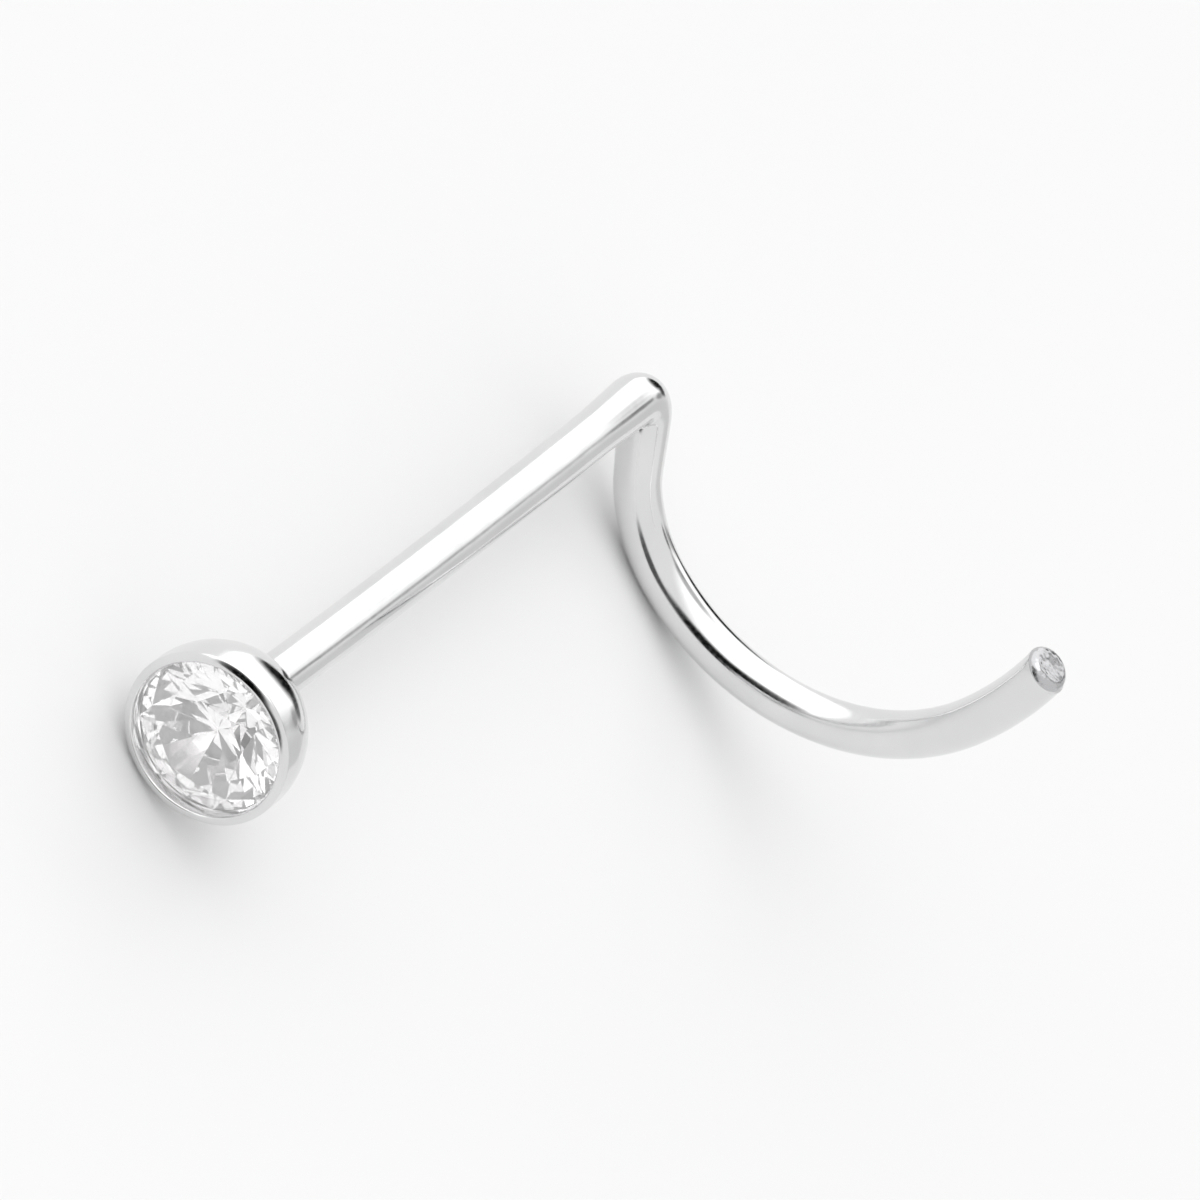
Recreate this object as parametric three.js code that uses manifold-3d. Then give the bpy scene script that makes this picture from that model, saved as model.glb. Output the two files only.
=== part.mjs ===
import * as THREE from "three";
import { mergeVertices } from "three/addons/utils/BufferGeometryUtils.js";
import { ConvexGeometry } from "three/addons/geometries/ConvexGeometry.js";
import { ConvexHull } from "three/addons/math/ConvexHull.js";
import Module from "manifold-3d";

// A nose stud of the screw kind, in millimetres. A round bezel cup holds one
// brilliant-cut stone, and the polished wire soldered to the cup's back runs
// straight as the post, turns a tight corner and ends in an open round hook.
// It is built along +Y, stone first, and then laid on the floor at z = 0.

// The wire that makes the post and the hook.
const wireDiameter = 0.5;
const wireSides = 14;
const postLength = 7.75; // cup's back to the middle of the hook's wire
const cornerRadius = 0.3; // of the wire's centreline
const hookLead = 0.62; // straight wire between the corner and the hook's curve
const hookRadius = 2.6; // of the wire's centreline where the hook is round
const hookHeading = -49; // degrees up from +X at which the hook leaves the post
const degreesPerSection = 9; // of turning between two sections of the wire

// The hook's curve from the corner to the cut tip: each stretch's radius as a
// share of hookRadius, and the degrees through which it turns.
const hookStretches = [
  { radiusShare: 0.7, turn: 38 },
  { radiusShare: 1.0, turn: 90 },
  { radiusShare: 1.6, turn: 17 },
];

// The bezel cup, a turned form with a round bottom.
const cupDiameter = 1.88;
const cupSides = 32;
const cupWall = 0.09; // beside the stone's girdle
const cupOffset = 0.065; // the cup is soldered this far off the post's axis
const wallDepth = 0.22; // front crest to where the round bottom begins
const bottomSteps = 6; // sections of the round bottom
const backDiameter = 0.84; // the flat back, which the post stands on
const backThickness = 0.13; // metal behind the seat's point
const lipOpening = 1.64; // the round window that the stone is seen through
const lipThickness = 0.03; // at the lip's inner edge
const easeWidth = 0.04; // of the front edge's rounding, inward
const easeDepth = 0.08; // of the same rounding, backward

// The front edge from its crest to the wall, as shares of its rounding.
const frontEdge = [
  { widthShare: 1, depthShare: 0 },
  { widthShare: 0.3, depthShare: 0.3 },
  { widthShare: 0, depthShare: 1 },
];

// The stone, a round brilliant, with its parts as shares of its diameter.
const stoneClearance = 0.02; // all round, between the stone and its seat
const stoneSetback = 0.16; // front crest back to the stone's girdle
const brilliantFold = 8;
const tableShare = 0.57;
const crownShare = 0.15;
const girdleShare = 0.03;
const pavilionShare = 0.42;
const starShare = 0.78; // across the corners where kites meet star facets
const lowerHalfShare = 0.26; // across the corners where mains meet lower halves

// The side of the stud that lies on the floor, in degrees up from +X round the
// post: the belly of the hook, with the cup's rim.
const bellySide = -104;

const metal = new THREE.MeshStandardMaterial({ color: 0xd9dadc, roughness: 0.12, metalness: 1 });
const crystal = new THREE.MeshStandardMaterial({ color: 0xf2f4f6, roughness: 0.02, metalness: 0 });

const wireRadius = wireDiameter / 2;
const cupRadius = cupDiameter / 2;
const seatRadius = cupRadius - cupWall;
const stoneRadius = seatRadius - stoneClearance;
const stoneDiameter = 2 * stoneRadius;
const girdleBack = stoneSetback + girdleShare * stoneDiameter;
const culetDepth = girdleBack + pavilionShare * stoneDiameter;
const crownSlope = (2 * crownShare) / (1 - tableShare);
const pavilionSlope = 2 * pavilionShare;
const seatPoint = culetDepth + stoneClearance * Math.hypot(1, pavilionSlope);
const cupDepth = seatPoint + backThickness;

const wasm = await Module();
wasm.setup();

function toSolid(geometry) {
  const bare = geometry.clone();
  bare.deleteAttribute("normal");
  bare.deleteAttribute("uv");
  const merged = mergeVertices(bare, 1e-5);
  return new wasm.Manifold(new wasm.Mesh({
    numProp: 3,
    vertProperties: new Float32Array(merged.attributes.position.array),
    triVerts: new Uint32Array(merged.index.array),
  }));
}

function toGeometry(solid) {
  const mesh = solid.getMesh();
  const geometry = new THREE.BufferGeometry();
  geometry.setAttribute("position", new THREE.BufferAttribute(new Float32Array(mesh.vertProperties), 3));
  geometry.setIndex(new THREE.BufferAttribute(new Uint32Array(mesh.triVerts), 1));
  geometry.computeVertexNormals();
  return geometry;
}

// A curve given by its sections, so that a straight stretch has none between
// its ends and a bend has as many as it turns through.
class SectionCurve extends THREE.Curve {
  constructor(sections) {
    super();
    this.sections = sections;
  }

  sectionAt(share) {
    return this.sections[Math.round(share * (this.sections.length - 1))];
  }

  getPointAt(share) {
    return this.sectionAt(share).place.clone();
  }

  getTangentAt(share) {
    return this.sectionAt(share).heading.clone();
  }
}

function addStraight(sections, length) {
  const last = sections[sections.length - 1];
  sections.push({
    place: last.place.clone().addScaledVector(last.heading, length),
    heading: last.heading.clone(),
  });
}

// Adds a bend of some degrees about an axis, with the wire's centreline at a
// radius from the bend's centre.
function addTurn(sections, axis, radius, degrees) {
  const last = sections[sections.length - 1];
  const inward = axis.clone().cross(last.heading).multiplyScalar(radius);
  const centre = last.place.clone().add(inward);
  const steps = Math.ceil(degrees / degreesPerSection);
  for (let step = 1; step <= steps; step += 1) {
    const angle = THREE.MathUtils.degToRad(degrees) * (step / steps);
    sections.push({
      place: inward.clone().negate().applyAxisAngle(axis, angle).add(centre),
      heading: last.heading.clone().applyAxisAngle(axis, angle),
    });
  }
}

// The wire starts half way through the cup's back, which it is soldered into.
function makeWire() {
  const along = new THREE.Vector3(0, 1, 0);
  const heading = THREE.MathUtils.degToRad(hookHeading);
  const outward = new THREE.Vector3(Math.cos(heading), 0, Math.sin(heading));
  const buried = backThickness / 2;
  const sections = [{ place: new THREE.Vector3(0, cupDepth - buried, 0), heading: along }];
  addStraight(sections, buried + postLength - cornerRadius);
  addTurn(sections, along.clone().cross(outward), cornerRadius, 90);
  addStraight(sections, hookLead);
  for (const stretch of hookStretches) {
    addTurn(sections, along.clone().negate(), hookRadius * stretch.radiusShare, stretch.turn);
  }
  const round = new THREE.Shape().absarc(0, 0, wireRadius, 0, 2 * Math.PI);
  return new THREE.ExtrudeGeometry(round, {
    steps: sections.length - 1,
    curveSegments: wireSides / 2,
    extrudePath: new SectionCurve(sections),
  });
}

// The cup's section, as radius and depth: from the seat's point up the inside,
// over the lip and down the outside. The seat follows the stone's own form, and
// the bottom is part of an ellipse from the wall to the flat back.
function makeCup() {
  const seatEdge = seatPoint - pavilionSlope * seatRadius;
  const underLip = stoneSetback - stoneClearance;
  const lipRadius = lipOpening / 2;
  const lipUnder = underLip - crownSlope * (seatRadius - lipRadius);
  const backAngle = Math.acos(backDiameter / cupDiameter);
  const bottomDepth = (cupDepth - wallDepth) / Math.sin(backAngle);
  const bottom = Array.from({ length: bottomSteps + 1 }, (_, step) => {
    const angle = backAngle * (step / bottomSteps);
    return [cupRadius * Math.cos(angle), wallDepth + bottomDepth * Math.sin(angle)];
  });
  const section = [
    [0, seatPoint],
    [seatRadius, seatEdge],
    [seatRadius, underLip],
    [lipRadius, lipUnder],
    [lipRadius, lipUnder - lipThickness],
    ...frontEdge.map((point) => [cupRadius - easeWidth * point.widthShare, easeDepth * point.depthShare]),
    ...bottom,
    [0, cupDepth],
  ];
  const outline = section.map(([radius, depth]) => new THREE.Vector2(radius, depth));
  return new THREE.LatheGeometry(outline, cupSides).translate(cupOffset, 0, 0);
}

// Corners spaced evenly round the stone, at a share of its radius and a depth.
// A half turn of the spacing sets a ring's corners between another ring's.
function ringCorners(count, radiusShare, depth, halfStep) {
  const corners = [];
  for (let corner = 0; corner < count; corner += 1) {
    const angle = (2 * Math.PI * (corner + (halfStep ? 0.5 : 0))) / count;
    const radius = stoneRadius * radiusShare;
    corners.push(new THREE.Vector3(radius * Math.cos(angle), depth, radius * Math.sin(angle)));
  }
  return corners;
}

// Each kite on the crown and each main on the pavilion is one flat facet, so
// its side corners lie on the plane of its point and its far end.
function makeStone() {
  const halfStep = Math.cos(Math.PI / brilliantFold);
  const tableDepth = stoneSetback - crownShare * stoneDiameter;
  const kiteDepth = stoneSetback - crownSlope * stoneRadius * (1 - starShare * halfStep);
  const mainDepth = culetDepth - pavilionSlope * stoneRadius * lowerHalfShare * halfStep;
  return new ConvexGeometry([
    ...ringCorners(brilliantFold, tableShare, tableDepth, false),
    ...ringCorners(brilliantFold, starShare, kiteDepth, true),
    ...ringCorners(2 * brilliantFold, 1, stoneSetback, false),
    ...ringCorners(2 * brilliantFold, 1, girdleBack, false),
    ...ringCorners(brilliantFold, lowerHalfShare, mainDepth, true),
    new THREE.Vector3(0, culetDepth, 0),
  ]).translate(cupOffset, 0, 0);
}

function cornersOf(geometry) {
  const place = geometry.attributes.position;
  return Array.from({ length: place.count }, (_, index) => new THREE.Vector3().fromBufferAttribute(place, index));
}

function centreOfVolume(geometries) {
  const sum = new THREE.Vector3();
  let volume = 0;
  for (const geometry of geometries) {
    const flat = geometry.index ? geometry.toNonIndexed() : geometry;
    const corners = cornersOf(flat);
    for (let first = 0; first < corners.length; first += 3) {
      const [a, b, c] = corners.slice(first, first + 3);
      const piece = a.dot(b.clone().cross(c)) / 6;
      volume += piece;
      sum.addScaledVector(a.clone().add(b).add(c), piece / 4);
    }
  }
  return sum.divideScalar(volume);
}

// The direction that points to the floor when the stud lies still: of the flat
// sides of its hull that hold the centre of volume over them, the one that
// faces most nearly the way its belly does.
function findRestingSide(geometries) {
  const hull = new ConvexHull().setFromPoints(geometries.flatMap(cornersOf));
  const centre = centreOfVolume(geometries);
  const angle = THREE.MathUtils.degToRad(bellySide);
  const belly = new THREE.Vector3(Math.cos(angle), 0, Math.sin(angle));
  const stable = hull.faces.filter((face) => {
    const corners = [face.edge.prev, face.edge, face.edge.next].map((edge) => edge.head().point);
    const below = centre.clone().addScaledVector(face.normal, -face.distanceToPoint(centre));
    return new THREE.Triangle(...corners).containsPoint(below);
  });
  const facing = stable.map((face) => face.normal.dot(belly));
  return stable[facing.indexOf(Math.max(...facing))].normal;
}

const cupAndWire = toGeometry(toSolid(makeCup()).add(toSolid(makeWire())));
const brilliant = makeStone();

const setting = new THREE.Mesh(cupAndWire, metal);
setting.name = "cup_post_and_hook";
const stone = new THREE.Mesh(brilliant, crystal);
stone.name = "stone";

const lying = new THREE.Group();
lying.add(setting, stone);
lying.quaternion.setFromUnitVectors(findRestingSide([cupAndWire, brilliant]), new THREE.Vector3(0, 0, -1));

const noseStud = new THREE.Group();
noseStud.add(lying);
noseStud.updateMatrixWorld(true);
const extent = new THREE.Box3().setFromObject(noseStud, true);
const middle = extent.getCenter(new THREE.Vector3());
lying.position.set(-middle.x, -middle.y, -extent.min.z);

export default noseStud;
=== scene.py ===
import math

import bmesh
import bpy
from mathutils import Matrix, Vector


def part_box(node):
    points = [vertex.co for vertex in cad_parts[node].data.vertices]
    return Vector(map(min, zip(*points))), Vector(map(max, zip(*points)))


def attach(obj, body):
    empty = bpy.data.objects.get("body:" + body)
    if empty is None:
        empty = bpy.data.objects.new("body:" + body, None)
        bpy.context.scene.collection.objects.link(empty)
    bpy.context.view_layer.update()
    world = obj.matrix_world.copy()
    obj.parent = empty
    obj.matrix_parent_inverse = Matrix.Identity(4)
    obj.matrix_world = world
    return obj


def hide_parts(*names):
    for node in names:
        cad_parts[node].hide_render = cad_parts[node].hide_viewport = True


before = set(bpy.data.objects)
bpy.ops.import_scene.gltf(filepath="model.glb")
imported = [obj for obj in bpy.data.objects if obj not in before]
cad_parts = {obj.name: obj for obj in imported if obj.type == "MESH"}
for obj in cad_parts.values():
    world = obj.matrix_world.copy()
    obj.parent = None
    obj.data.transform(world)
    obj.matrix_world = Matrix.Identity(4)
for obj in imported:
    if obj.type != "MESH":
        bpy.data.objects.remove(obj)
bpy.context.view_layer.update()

# The stone: a clear round brilliant, cut with a flat table, eight kites and
# their star and half facets above the girdle, and eight mains below it. It is
# picked first, because the cup is turned to its girdle.
stone_diameter = 1.66
stone_setback = 0.16
stone_off_post = 0.065
fold = 8
table_share = 0.57
crown_share = 0.15
girdle_share = 0.03
pavilion_share = 0.42
star_share = 0.78
lower_half_share = 0.26

stone_radius = stone_diameter / 2
girdle_back = stone_setback + girdle_share * stone_diameter
point_depth = girdle_back + pavilion_share * stone_diameter
crown_slope = 2 * crown_share / (1 - table_share)
pavilion_slope = 2 * pavilion_share
half_step = math.cos(math.pi / fold)
table_depth = stone_setback - crown_share * stone_diameter
kite_depth = stone_setback - crown_slope * stone_radius * (1 - star_share * half_step)
main_depth = point_depth - pavilion_slope * stone_radius * lower_half_share * half_step


def corner_ring(count, share, depth, turned):
    corners = []
    for corner in range(count):
        angle = 2 * math.pi * (corner + turned) / count
        across = stone_radius * share * math.cos(angle)
        upward = stone_radius * share * math.sin(angle)
        corners.append(Vector((stone_off_post + across, depth, upward)))
    return corners


stone_corners = corner_ring(fold, table_share, table_depth, 0)
stone_corners += corner_ring(fold, star_share, kite_depth, 0.5)
stone_corners += corner_ring(2 * fold, 1, stone_setback, 0)
stone_corners += corner_ring(2 * fold, 1, girdle_back, 0)
stone_corners += corner_ring(fold, lower_half_share, main_depth, 0.5)
stone_corners.append(Vector((stone_off_post, point_depth, 0)))

# The stud is drawn in millimetres with its post along Y. It comes to rest on
# the cup's rim and the belly of the hook, rolled and dipped by these angles.
belly_roll = math.radians(14.80)
post_dip = math.radians(1.02)
to_floor = Vector((-math.sin(belly_roll) * math.cos(post_dip), -math.sin(post_dip),
                   -math.cos(belly_roll) * math.cos(post_dip)))
lying = to_floor.rotation_difference(Vector((0, 0, -1))).to_matrix()
millimetre = 0.001

turned_corners = [lying @ corner for corner in stone_corners]
lowest_corner = Vector([min(corner[axis] for corner in turned_corners) for axis in range(3)])
resting_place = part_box("stone")[0] - lowest_corner * millimetre
lay_down = Matrix.Translation(resting_place) @ lying.to_4x4() @ Matrix.Scale(millimetre, 4)

# The cup was soldered on a hair aslant, so the cup and its stone lean
# together about the stone's point.
cup_lean = math.radians(-3)
stone_point = Matrix.Translation((0, point_depth, 0))
lean = stone_point @ Matrix.Rotation(cup_lean, 4, "X") @ stone_point.inverted()


def make_piece(name, body):
    bmesh.ops.recalc_face_normals(body, faces=body.faces)
    body.transform(lay_down)
    mesh = bpy.data.meshes.new(name)
    body.to_mesh(mesh)
    body.free()
    piece = bpy.data.objects.new(name, mesh)
    bpy.context.scene.collection.objects.link(piece)
    return piece


facets = bmesh.new()
for corner in stone_corners:
    facets.verts.new(lean @ corner)
bmesh.ops.convex_hull(facets, input=facets.verts)
bmesh.ops.dissolve_limit(facets, angle_limit=math.radians(0.5), verts=facets.verts, edges=facets.edges)
brilliant = make_piece("brilliant_stone", facets)


def start_material(name):
    material = bpy.data.materials.new(name)
    material.use_nodes = True
    tree = material.node_tree
    return material, tree, tree.nodes["Principled BSDF"]


def cloudy(tree, scale, detail, stretch=(1, 1, 1)):
    place = tree.nodes.new("ShaderNodeTexCoord")
    mapping = tree.nodes.new("ShaderNodeMapping")
    mapping.inputs["Scale"].default_value = stretch
    clouds = tree.nodes.new("ShaderNodeTexNoise")
    clouds.inputs["Scale"].default_value = scale
    clouds.inputs["Detail"].default_value = detail
    tree.links.new(place.outputs["Object"], mapping.inputs["Vector"])
    tree.links.new(mapping.outputs["Vector"], clouds.inputs["Vector"])
    return clouds.outputs["Fac"]


# Noise keeps mostly between these two values, and they are spread out to the
# two that are asked for.
noise_low = 0.35
noise_high = 0.65


def between(tree, amount, low, high):
    spread = tree.nodes.new("ShaderNodeMapRange")
    spread.inputs["From Min"].default_value = noise_low
    spread.inputs["From Max"].default_value = noise_high
    spread.inputs["To Min"].default_value = low
    spread.inputs["To Max"].default_value = high
    tree.links.new(amount, spread.inputs["Value"])
    return spread.outputs["Result"]


def tinted(tree, amount, first, second):
    mixer = tree.nodes.new("ShaderNodeMix")
    mixer.data_type = "RGBA"
    mixer.inputs["A"].default_value = (*first, 1)
    mixer.inputs["B"].default_value = (*second, 1)
    tree.links.new(amount, mixer.inputs["Factor"])
    return mixer.outputs["Result"]


# Clear cubic zirconia. Its trace of glow stands in for the light that comes
# back from the many turns inside a real stone.
clear_stone, tree, shader = start_material("clear_zirconia")
shader.inputs["Transmission Weight"].default_value = 0.95
shader.inputs["IOR"].default_value = 2.17
shader.inputs["Emission Color"].default_value = (1, 1, 1, 1)
shader.inputs["Emission Strength"].default_value = 0.055
tint_share = between(tree, cloudy(tree, 1500, 2), 0, 1)
stone_tint = tinted(tree, tint_share, (1.0, 1.0, 1.0), (0.98, 0.96, 0.97))
tree.links.new(stone_tint, shader.inputs["Base Color"])
tree.links.new(between(tree, cloudy(tree, 9000, 2), 0.0, 0.03), shader.inputs["Roughness"])
brilliant.data.materials.append(clear_stone)
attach(brilliant, "root")
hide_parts("stone")

# The cup: a small round-bottomed bezel of silver, spun to the stone's girdle.
# Its thin rim is pushed over the stone and burnished to a soft round lip.
cup_radius = 0.94
stone_clearance = 0.02
burnish_gap = 0.004
seat_radius = stone_radius + stone_clearance
lip_radius = 0.82
lip_thickness = 0.03
rim_slopes = [
    {"turned_to": 22, "length": 0.015},
    {"turned_to": 36, "length": 0.060},
    {"turned_to": 90, "length": 0.028},
]
wall_depth = 0.22
back_radius = 0.42
back_thickness = 0.13
seat_point = point_depth + stone_clearance * math.hypot(1, pavilion_slope)
cup_depth = seat_point + back_thickness
seat_edge = seat_point - pavilion_slope * seat_radius
under_lip = stone_setback - stone_clearance
lip_under = stone_setback - crown_slope * (stone_radius - lip_radius) - burnish_gap
lip_top = lip_under - lip_thickness

ring_sides = 96
rim_steps = 8
crest_steps = 10
bottom_steps = 36
rings = []


def add_ring(stand, radius):
    ring = []
    for side in range(ring_sides):
        angle = 2 * math.pi * side / ring_sides
        ring.append(stand @ Vector((radius * math.cos(angle), 0, radius * math.sin(angle))))
    rings.append(ring)


def cup_ring(radius, depth):
    add_ring(lean @ Matrix.Translation((stone_off_post, depth, 0)), radius)


def shares(steps):
    return [step / steps for step in range(1, steps + 1)]


# The rim's front turns from flat at its crest to square at the wall.
rim_places = []
rim_width = 0
rim_depth = 0
turned = 0
for slope in rim_slopes:
    turn_step = (slope["turned_to"] - turned) / rim_steps
    for share in shares(rim_steps):
        turned += turn_step
        angle = math.radians(turned - turn_step / 2)
        rim_width += slope["length"] / rim_steps * math.cos(angle)
        rim_depth += slope["length"] / rim_steps * math.sin(angle)
        rim_places.append((rim_width, rim_depth))
crest_radius = cup_radius - rim_width

# From the seat up to the lip, over the rim, and down the wall and the bottom.
cup_ring(seat_radius / 2, (seat_edge + seat_point) / 2)
cup_ring(seat_radius, seat_edge)
cup_ring(seat_radius, under_lip)
cup_ring(lip_radius, lip_under)
cup_ring(lip_radius, lip_top)
seat_rings = len(rings)
for share in shares(crest_steps):
    angle = share * math.pi / 2
    inward = (crest_radius - lip_radius) * math.cos(angle)
    cup_ring(crest_radius - inward, lip_top * (1 - math.sin(angle)))
for width, depth in rim_places:
    cup_ring(crest_radius + width, depth)
cup_ring(cup_radius, wall_depth)
back_angle = math.acos(back_radius / cup_radius)
bottom_depth = (cup_depth - wall_depth) / math.sin(back_angle)
for share in shares(bottom_steps):
    angle = back_angle * share
    cup_ring(cup_radius * math.cos(angle), wall_depth + bottom_depth * math.sin(angle))

# The post: straight round silver wire, butted against the cup's back and
# soldered there. The solder leaves a small hollow fillet round the joint.
wire_radius = 0.25
fillet_length = 0.16
post_length = 7.75
corner_radius = 0.3
post_bow = 0.028
fillet_steps = 10
post_steps = 60

for share in shares(fillet_steps):
    angle = share * math.pi / 2
    depth = cup_depth + fillet_length * (1 - math.cos(angle))
    spread = (back_radius - wire_radius) * (1 - math.sin(angle))
    add_ring(Matrix.Translation((stone_off_post * (1 - share), depth, 0)), wire_radius + spread)
post_start = cup_depth + fillet_length
post_end = cup_depth + post_length - corner_radius
for share in shares(post_steps):
    bow = post_bow * 4 * share * (1 - share)
    depth = post_start + (post_end - post_start) * share
    add_ring(Matrix.Translation((bow, depth, 0)), wire_radius)

# The corner and the hook: the same wire, turned square round a thin jaw and
# then drawn round a mandrel into an open hook, which opens out a little
# towards its end.
hook_heading = math.radians(-49)
corner_steps = 24
hook_lead = 0.62
lead_steps = 8
hook_radius = 2.6
hook_stretches = [
    {"radius_share": 0.7, "turn": 38, "steps": 30},
    {"radius_share": 1.0, "turn": 90, "steps": 90},
    {"radius_share": 1.6, "turn": 17, "steps": 24},
]
stand = Matrix.Translation((0, post_end, 0))


def go_straight(stand, length, steps):
    for share in shares(steps):
        add_ring(stand @ Matrix.Translation((0, length * share, 0)), wire_radius)
    return stand @ Matrix.Translation((0, length, 0))


def go_round(stand, axis, radius, degrees, steps):
    heading = stand.col[1].to_3d()
    centre = Matrix.Translation(stand.translation + axis.cross(heading) * radius)
    for share in shares(steps):
        swing = Matrix.Rotation(math.radians(degrees) * share, 4, axis)
        next_stand = centre @ swing @ centre.inverted() @ stand
        add_ring(next_stand, wire_radius)
    return next_stand


along = Vector((0, 1, 0))
outward = Vector((math.cos(hook_heading), 0, math.sin(hook_heading)))
stand = go_round(stand, along.cross(outward), corner_radius, 90, corner_steps)
stand = go_straight(stand, hook_lead, lead_steps)
for stretch in hook_stretches:
    bend_radius = hook_radius * stretch["radius_share"]
    stand = go_round(stand, -along, bend_radius, stretch["turn"], stretch["steps"])

# The squeeze: the jaw pressed the wire at the corner, so it is a little
# thicker there and stands out behind. This fades away along the wire.
squeeze_reach = 1.1
squeeze_swell = 0.03
squeeze_shift = 0.08
corner_point = Vector((0, cup_depth + post_length, 0))
for ring in rings:
    centre = sum(ring, Vector()) / ring_sides
    near = max(0, 1 - ((centre - corner_point).length / squeeze_reach) ** 2) ** 2
    for side, place in enumerate(ring):
        swell = squeeze_swell * (place - centre).normalized()
        ring[side] = place + near * (squeeze_shift * along + swell)

# The tip: nipped off a little aslant, so that the wire is longest inside the
# hook, and its edge rubbed round so that it passes through the skin without a
# scratch. It takes the place of the wire's last rings.
tip_ease = 0.10
tip_slant = math.radians(13)
tip_longer = 0.05
tip_steps = 8
tip_replaces = 3
dish_radius = 0.1125
dish_edge_depth = 0.0084
dish_depth = 0.012
del rings[-tip_replaces:]
add_ring(stand @ Matrix.Translation((0, -tip_ease, 0)), wire_radius)
wire_end = Matrix.Translation(stand.translation)
slanted = wire_end @ Matrix.Rotation(tip_slant, 4, along) @ wire_end.inverted()
stand = slanted @ stand @ Matrix.Translation((0, tip_longer, 0))
for share in shares(tip_steps):
    angle = share * math.pi / 2
    backward = tip_ease * (1 - math.sin(angle))
    inward = tip_ease * (1 - math.cos(angle))
    add_ring(stand @ Matrix.Translation((0, -backward, 0)), wire_radius - inward)
add_ring(stand @ Matrix.Translation((0, -dish_edge_depth, 0)), dish_radius)
tip_rings = tip_steps + 1

# The metal: cup, post and hook are one solid once they are soldered, and are
# polished together to bright silver. The seat under the stone is painted light:
# a brighter copy of the silver that sends more light back up through the stone.
# The tip keeps the marks of the nippers.
metal = bmesh.new()
first_point = metal.verts.new(lean @ Vector((stone_off_post, seat_point, 0)))
last_point = metal.verts.new(stand @ Vector((0, -dish_depth, 0)))
ring_verts = [[metal.verts.new(place) for place in ring] for ring in rings]
for side in range(ring_sides):
    beside = (side + 1) % ring_sides
    metal.faces.new((first_point, ring_verts[0][side], ring_verts[0][beside]))
    metal.faces.new((last_point, ring_verts[-1][beside], ring_verts[-1][side]))
    for ring, next_ring in zip(ring_verts, ring_verts[1:]):
        metal.faces.new((ring[side], next_ring[side], next_ring[beside], ring[beside]))
seat_verts = {first_point}.union(*ring_verts[:seat_rings])
tip_verts = {last_point}.union(*ring_verts[-tip_rings:])
for face in metal.faces:
    face.smooth = True
    if seat_verts.issuperset(face.verts):
        face.material_index = 1
    if tip_verts.issuperset(face.verts):
        face.material_index = 2
silver = make_piece("cup_post_and_hook_polished", metal)
silver.data.set_sharp_from_angle(angle=math.radians(40))

# Bright silver with a slight unevenness of tint, fine buffing marks and very
# shallow waves.
polished_silver, tree, shader = start_material("polished_silver")
shader.inputs["Metallic"].default_value = 1.0
handled = between(tree, cloudy(tree, 1400, 3), 0, 1)
silver_tint = tinted(tree, handled, (0.72, 0.72, 0.725), (0.76, 0.76, 0.76))
tree.links.new(silver_tint, shader.inputs["Base Color"])
buffed = cloudy(tree, 24000, 2, (1, 0.12, 1))
tree.links.new(between(tree, buffed, 0.09, 0.16), shader.inputs["Roughness"])
waves = tree.nodes.new("ShaderNodeBump")
waves.inputs["Strength"].default_value = 1.0
waves.inputs["Distance"].default_value = 0.0000018
tree.links.new(cloudy(tree, 2600, 2), waves.inputs["Height"])
tree.links.new(waves.outputs["Normal"], shader.inputs["Normal"])
silver.data.materials.append(polished_silver)

# Painted light: the seat is a brighter copy of the silver, so that more light comes back up through
# the stone.
brightened_seat, tree, shader = start_material("brightened_seat_for_stone_light")
shader.inputs["Metallic"].default_value = 1.0
shader.inputs["Base Color"].default_value = (0.98, 0.98, 0.98, 1)
tree.links.new(between(tree, cloudy(tree, 5000, 2), 0.12, 0.25), shader.inputs["Roughness"])
silver.data.materials.append(brightened_seat)

nipped_end, tree, shader = start_material("nipped_end")
shader.inputs["Metallic"].default_value = 1.0
shader.inputs["Base Color"].default_value = (0.52, 0.52, 0.53, 1)
tree.links.new(between(tree, cloudy(tree, 16000, 2), 0.15, 0.32), shader.inputs["Roughness"])
marks = tree.nodes.new("ShaderNodeBump")
marks.inputs["Distance"].default_value = 0.00002
tree.links.new(cloudy(tree, 11000, 1, (1, 1, 0.5)), marks.inputs["Height"])
tree.links.new(marks.outputs["Normal"], shader.inputs["Normal"])
silver.data.materials.append(nipped_end)
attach(silver, "root")
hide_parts("cup_post_and_hook")

# The floor: a plain pale board that the stud lies on.
floor_half_width = 0.6
floor_level = min(corner.co.z for corner in silver.data.vertices)
board = bmesh.new()
bmesh.ops.create_grid(board, x_segments=1, y_segments=1, size=floor_half_width)
floor_mesh = bpy.data.meshes.new("floor")
board.to_mesh(floor_mesh)
board.free()
floor = bpy.data.objects.new("floor", floor_mesh)
floor.location.z = floor_level
bpy.context.scene.collection.objects.link(floor)
pale_board, tree, shader = start_material("pale_board")
board_tint = tinted(tree, cloudy(tree, 30, 2), (0.80, 0.80, 0.80), (0.82, 0.82, 0.82))
tree.links.new(board_tint, shader.inputs["Base Color"])
shader.inputs["Roughness"].default_value = 0.7
shader.inputs["Specular IOR Level"].default_value = 0.2
floor_mesh.materials.append(pale_board)

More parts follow.
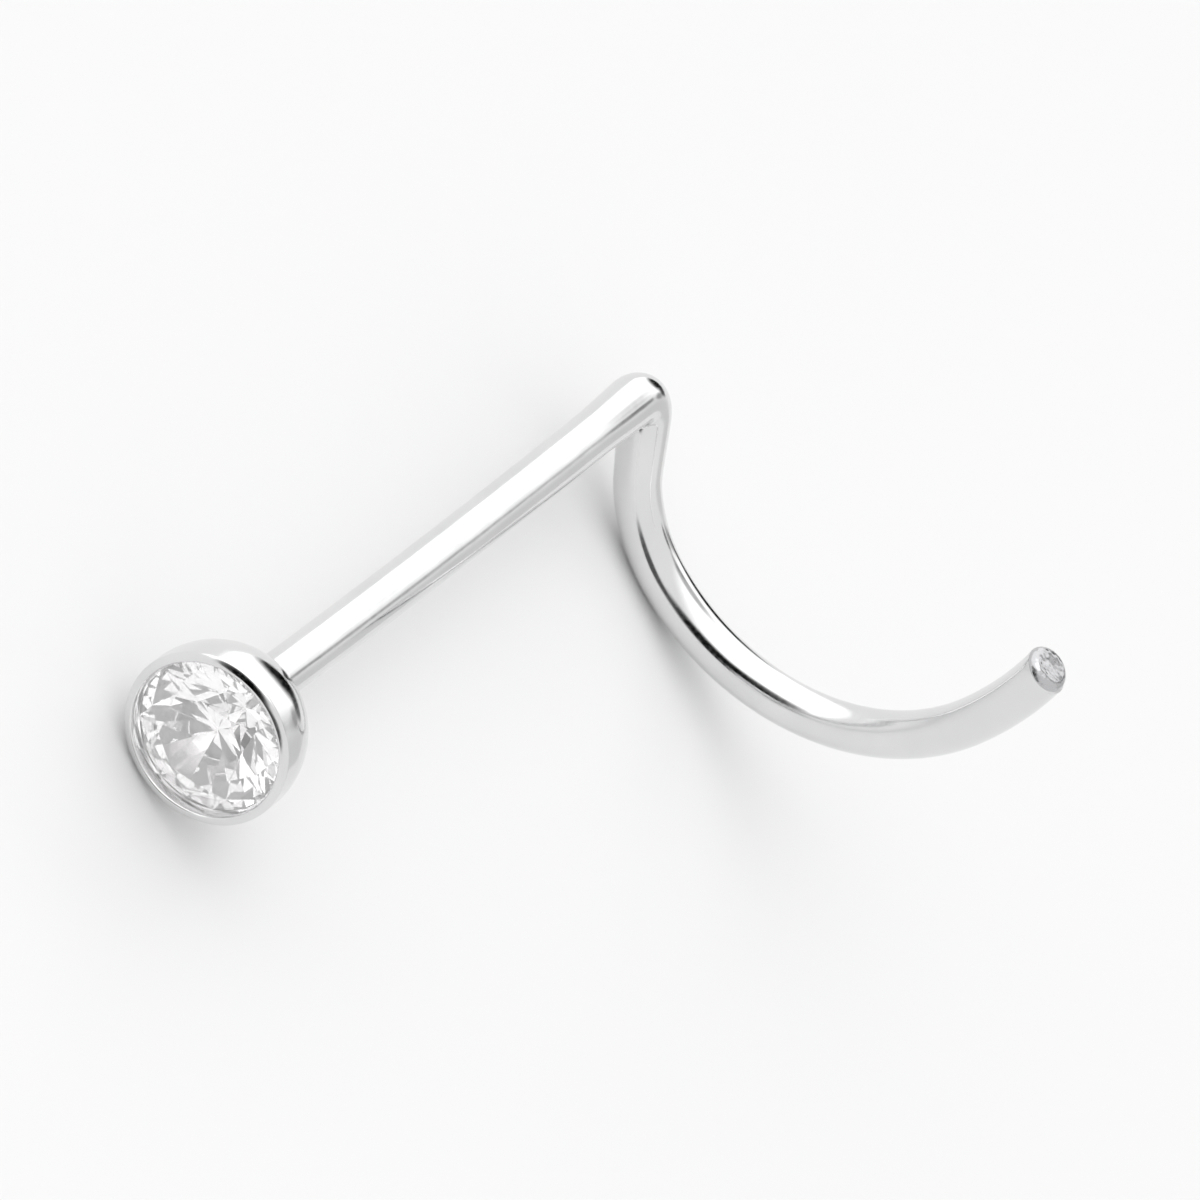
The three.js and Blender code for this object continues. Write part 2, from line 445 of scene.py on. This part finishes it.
# The studio: a white tent to the left, a grey one to the right, and the dark
# gaps between them, before and behind the stud. Each gap is a soft round: its
# place, its full and its outer radius in degrees, and how dark it is.
tent_side = math.radians(-75)
tent_white = 1.5
tent_grey = 0.95
tent_seam = 0.15
gaps = [
    {"compass": -165, "height": 13, "core": 11, "edge": 25, "depth": 1.0},
    {"compass": -147, "height": 13, "core": 7, "edge": 17, "depth": 0.9},
    {"compass": 166, "height": 11, "core": 7, "edge": 16, "depth": 0.9},
    {"compass": -4, "height": 8, "core": 8, "edge": 20, "depth": 1.0},
    {"compass": 13, "height": 10, "core": 3, "edge": 10, "depth": 0.9},
    {"compass": 20, "height": 22, "core": 3, "edge": 9, "depth": 0.6},
    {"compass": 30, "height": 39, "core": 4, "edge": 9, "depth": 0.75},
    {"compass": 13, "height": 50, "core": 3, "edge": 10, "depth": 0.55},
    {"compass": -6, "height": 57, "core": 6, "edge": 17, "depth": 0.6},
    {"compass": 42, "height": 8, "core": 8, "edge": 26, "depth": 0.22},
]


def compass_point(compass, height):
    level = math.cos(math.radians(height))
    return (level * math.sin(math.radians(compass)), level * math.cos(math.radians(compass)),
            math.sin(math.radians(height)))


world = bpy.data.worlds.new("studio")
bpy.context.scene.world = world
world.use_nodes = True
sky = world.node_tree
backdrop = sky.nodes["Background"]
looking = sky.nodes.new("ShaderNodeTexCoord")


def facing(direction):
    toward = sky.nodes.new("ShaderNodeVectorMath")
    toward.operation = "DOT_PRODUCT"
    toward.inputs[1].default_value = direction
    sky.links.new(looking.outputs["Generated"], toward.inputs[0])
    return toward.outputs["Value"]


def ramp(amount, start, end, low, high):
    spread = sky.nodes.new("ShaderNodeMapRange")
    spread.interpolation_type = "SMOOTHSTEP"
    spread.inputs["From Min"].default_value = start
    spread.inputs["From Max"].default_value = end
    spread.inputs["To Min"].default_value = low
    spread.inputs["To Max"].default_value = high
    sky.links.new(amount, spread.inputs["Value"])
    return spread.outputs["Result"]


white_side = (math.sin(tent_side), math.cos(tent_side), 0)
brightness = ramp(facing(white_side), -tent_seam, tent_seam, tent_grey, tent_white)
for gap in gaps:
    edge = math.cos(math.radians(gap["edge"]))
    core = math.cos(math.radians(gap["core"]))
    middle = compass_point(gap["compass"], gap["height"])
    shade = ramp(facing(middle), edge, core, 1, 1 - gap["depth"])
    darken = sky.nodes.new("ShaderNodeMath")
    darken.operation = "MULTIPLY"
    sky.links.new(brightness, darken.inputs[0])
    sky.links.new(shade, darken.inputs[1])
    brightness = darken.outputs["Value"]
sky.links.new(brightness, backdrop.inputs["Strength"])
backdrop.inputs["Color"].default_value = (1, 1, 1, 1)

# The lamp: one broad soft panel over the white side, which lifts the floor.
panel_width = 0.5
panel_distance = 0.6
panel_power = 0.4
panel_compass = -95
panel_height = 62
panel_light = bpy.data.lights.new("soft_panel", "AREA")
panel_light.shape = "DISK"
panel_light.size = panel_width
panel_light.energy = panel_power
panel = bpy.data.objects.new("soft_panel", panel_light)
panel.location = Vector(compass_point(panel_compass, panel_height)) * panel_distance
panel.rotation_euler = panel.location.to_track_quat("Z", "Y").to_euler()
bpy.context.scene.collection.objects.link(panel)

# The camera: far off with a long lens, so that the wire keeps one width. It
# looks at the stud as the photograph does, from in front of the stone. The
# picture's middle is given in millimetres from the hook's centre.
post_slope = math.radians(37.9)
view_angle = math.radians(40)
picture_width = 12.12
lens = 1400
hook_centre = Vector((0, cup_depth + post_length, 0))
picture_right = Vector((math.sin(post_slope), math.sin(view_angle) * math.cos(post_slope),
                        math.cos(view_angle) * math.cos(post_slope)))
picture_up = Vector((-math.cos(post_slope), math.sin(view_angle) * math.sin(post_slope),
                     math.cos(view_angle) * math.sin(post_slope)))
to_camera = Vector((0, -math.cos(view_angle), math.sin(view_angle)))
middle_right = -0.434
middle_up = -2.101
middle_near = 3.2
picture_middle = hook_centre + picture_right * middle_right + picture_up * middle_up
picture_middle += to_camera * middle_near
camera_data = bpy.data.cameras.new("camera")
camera_data.lens = lens
camera_data.clip_start = 0.01
camera_data.clip_end = 10
camera_distance = picture_width * lens / camera_data.sensor_width
camera = bpy.data.objects.new("camera", camera_data)
bpy.context.scene.collection.objects.link(camera)
camera_turn = Matrix((lying @ picture_right, lying @ picture_up, lying @ to_camera)).transposed()
camera_place = lay_down @ (picture_middle + to_camera * camera_distance)
camera.matrix_world = Matrix.Translation(camera_place) @ camera_turn.to_4x4()
bpy.context.scene.camera = camera
bpy.context.scene.view_settings.view_transform = "Standard"
